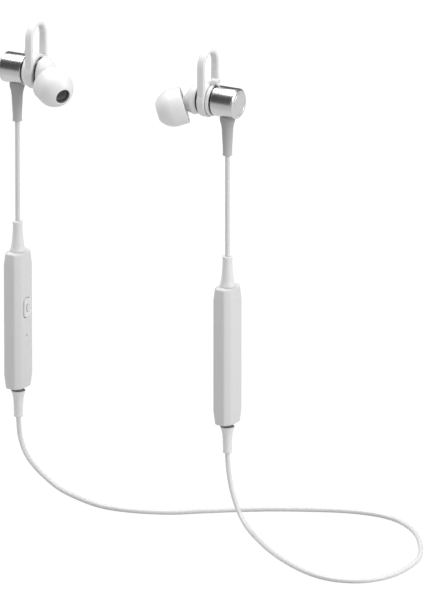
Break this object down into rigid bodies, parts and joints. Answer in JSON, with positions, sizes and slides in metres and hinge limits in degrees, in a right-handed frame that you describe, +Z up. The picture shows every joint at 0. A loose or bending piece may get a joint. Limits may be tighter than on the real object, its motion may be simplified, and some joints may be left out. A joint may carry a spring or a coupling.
{
  "type": "neckband earphones",
  "caption": "Wireless in-ear earphones: metal barrel buds with silicone tips and arch-shaped ear wings, joined by a thin neck cord with a key pod and a battery pod.",
  "frame": {"origin": "middle of the right ear tip's cylindrical band, on the nozzle's axis, where the wearer's right ear holds the part", "axes": "+X from the right bud to the left bud along the ear-to-ear line, +Z up, -Y the wearer's forward; worn upright, with the pods hanging below the buds"},
  "size_m": [0.1641, 0.0678, 0.1627],
  "materials": {
    "satin_barrel": "satin turned metal",
    "dark_trim": "dark bright-cut ring",
    "cap_metal": "satin disc with a cut edge",
    "white_plastic": "fine matt",
    "pod_plastic": "matt pale grey",
    "key_plastic": "satin",
    "white_silicone": "soft matt silicone",
    "grey_rubber": "matt moulded rubber",
    "pale_rubber": "matt moulded rubber",
    "cord_jacket": "smooth TPE jacket",
    "steel_mesh": "fine woven mesh",
    "magnet_metal": "nickel plated",
    "driver_metal": "pressed",
    "film": "thin polymer film",
    "circuit_board": "solder mask",
    "chip_resin": "moulded resin",
    "ceramic": "fired ceramic",
    "tin_plate": "tin plated",
    "cell_foil": "laminate pouch",
    "led_resin": "clear resin"
  },
  "bodies": {
    "earphones": {"right_end_cap": "cap_metal", "right_barrel": "satin_barrel", "right_trim_ring": "dark_trim", "right_seal_ring": "dark_trim", "right_front_housing": "white_plastic", "right_nozzle_mesh": "steel_mesh", "right_driver_frame": "driver_metal", "right_driver_magnet": "magnet_metal", "right_diaphragm": "film", "right_bud_relief": "grey_rubber", "left_end_cap": "cap_metal", "left_barrel": "satin_barrel", "left_trim_ring": "dark_trim", "left_seal_ring": "dark_trim", "left_front_housing": "white_plastic", "left_nozzle_mesh": "steel_mesh", "left_driver_frame": "driver_metal", "left_driver_magnet": "magnet_metal", "left_diaphragm": "film", "left_bud_relief": "grey_rubber", "remote_front_shell": "pod_plastic", "remote_back_shell": "pod_plastic", "tact_switches": "tin_plate", "remote_board": "circuit_board", "bluetooth_chip": "chip_resin", "antenna": "ceramic", "microphone": "tin_plate", "status_led": "led_resin", "remote_top_relief": "pale_rubber", "remote_bottom_relief": "pale_rubber", "battery_front_shell": "pod_plastic", "battery_back_shell": "pod_plastic", "battery_cell": "cell_foil", "charge_board": "circuit_board", "usb_receptacle": "tin_plate", "battery_top_relief": "pale_rubber", "battery_bottom_relief": "pale_rubber", "right_cord": "cord_jacket", "left_cord": "cord_jacket", "neck_cord": "cord_jacket"},
    "right_tip": {"right_ear_tip": "white_silicone"},
    "left_tip": {"left_ear_tip": "white_silicone"},
    "right_wing": {"right_ear_wing": "white_silicone"},
    "left_wing": {"left_ear_wing": "white_silicone"},
    "rocker": {"volume_rocker": "key_plastic"},
    "key": {"play_key": "pod_plastic"},
    "cover": {"port_cover": "pale_rubber"}
  },
  "joints": [
    {"name": "right_tip_pull", "type": "slide", "parent": "earphones", "child": "right_tip", "axis": [0.8325, -0.4806, -0.2756], "range_m": [0, 0.01]},
    {"name": "left_tip_pull", "type": "slide", "parent": "earphones", "child": "left_tip", "axis": [-0.8325, -0.4806, -0.2756], "range_m": [0, 0.01]},
    {"name": "right_wing_turn", "type": "hinge", "parent": "earphones", "child": "right_wing", "pos_m": [-0.00879, 0.00461, 0.00265], "axis": [1, 0, 0], "range_deg": [-15, 15]},
    {"name": "left_wing_turn", "type": "hinge", "parent": "earphones", "child": "left_wing", "pos_m": [0.05671, 0.00461, 0.00265], "axis": [1, 0, 0], "range_deg": [-15, 15]},
    {"name": "rocker_tilt", "type": "hinge", "parent": "earphones", "child": "rocker", "pos_m": [-0.01355, 0.00441, -0.08075], "axis": [0.0785, 0.9969, 0], "range_deg": [-2.5, 2.5], "stiffness_Nm_per_rad": 0.02},
    {"name": "play_key_press", "type": "slide", "parent": "earphones", "child": "key", "axis": [-0.9969, 0.0785, 0], "range_m": [0, 0.0002], "stiffness_N_per_m": 500},
    {"name": "port_cover_flip", "type": "hinge", "parent": "earphones", "child": "cover", "pos_m": [0.0645, 0.01018, -0.07655], "axis": [-0.9969, 0.0785, 0], "range_deg": [0, 110]}
  ]
}
